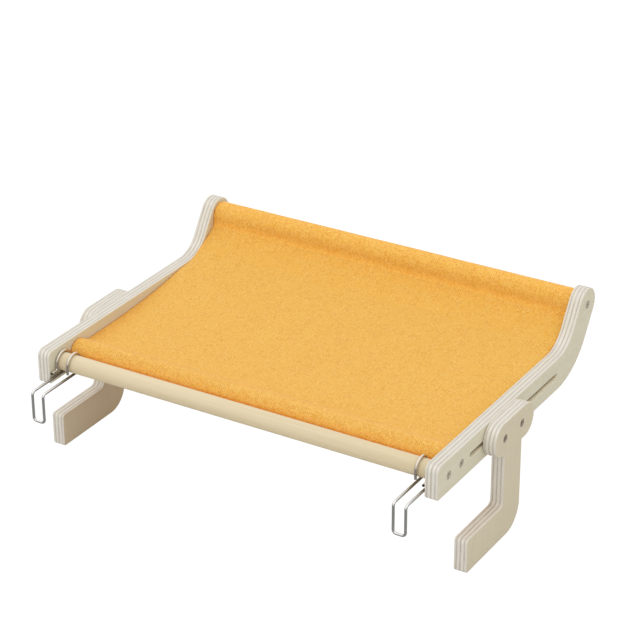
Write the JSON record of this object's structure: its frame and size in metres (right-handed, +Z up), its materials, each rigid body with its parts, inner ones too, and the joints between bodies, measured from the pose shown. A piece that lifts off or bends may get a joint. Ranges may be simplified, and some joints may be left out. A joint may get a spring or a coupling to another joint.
{
  "type": "cat hammock",
  "caption": "Cat hammock that clamps to a sill: plywood side panels swept up at the back, round rods, a woven sling, sliding brackets and swinging wire hooks.",
  "frame": {"origin": "midway between the two side panels, at their front ends, on the plane of their undersides, where they lie on the sill", "axes": "+X to the right as seen from the front rail, +Y back towards the raised end, +Z up"},
  "size_m": [0.5202, 0.3909, 0.1917],
  "materials": {
    "plywood": "sanded birch plywood with a thin clear coat and bare striped edges",
    "rod_wood": "turned, sanded and clear coated",
    "sling_cloth": "coarse woven, matt",
    "screw_steel": "dark oxide",
    "nut_steel": "zinc plated",
    "insert_brass": "turned",
    "wire_steel": "bright plated"
  },
  "bodies": {
    "frame": {"side_panel_left": "plywood", "side_panel_right": "plywood", "front_rail": "rod_wood", "front_rail_inserts": "insert_brass", "front_rail_screws": "screw_steel", "sling_front_rod": "rod_wood", "sling_front_rod_inserts": "insert_brass", "sling_front_rod_screws": "screw_steel", "sling_rear_rod": "rod_wood", "sling_rear_rod_inserts": "insert_brass", "sling_rear_rod_screws": "screw_steel", "sling": "sling_cloth"},
    "sill_bracket_left": {"bracket_left": "plywood", "bracket_bolts_left": "screw_steel", "bracket_nuts_left": "nut_steel"},
    "sill_bracket_right": {"bracket_right": "plywood", "bracket_bolts_right": "screw_steel", "bracket_nuts_right": "nut_steel"},
    "window_hook_left": {"wire_hook_left": "wire_steel"},
    "window_hook_right": {"wire_hook_right": "wire_steel"}
  },
  "joints": [
    {"name": "bracket_left_slide", "type": "slide", "parent": "frame", "child": "sill_bracket_left", "axis": [0, 1, 0], "range_m": [-0.046, 0.11]},
    {"name": "bracket_right_slide", "type": "slide", "parent": "frame", "child": "sill_bracket_right", "axis": [0, 1, 0], "range_m": [-0.046, 0.11]},
    {"name": "hook_left_swing", "type": "hinge", "parent": "frame", "child": "window_hook_left", "pos_m": [-0.221, 0.023, 0.019], "axis": [1, 0, 0], "range_deg": [-160, 100]},
    {"name": "hook_right_swing", "type": "hinge", "parent": "frame", "child": "window_hook_right", "pos_m": [0.221, 0.023, 0.019], "axis": [1, 0, 0], "range_deg": [-160, 100]}
  ]
}
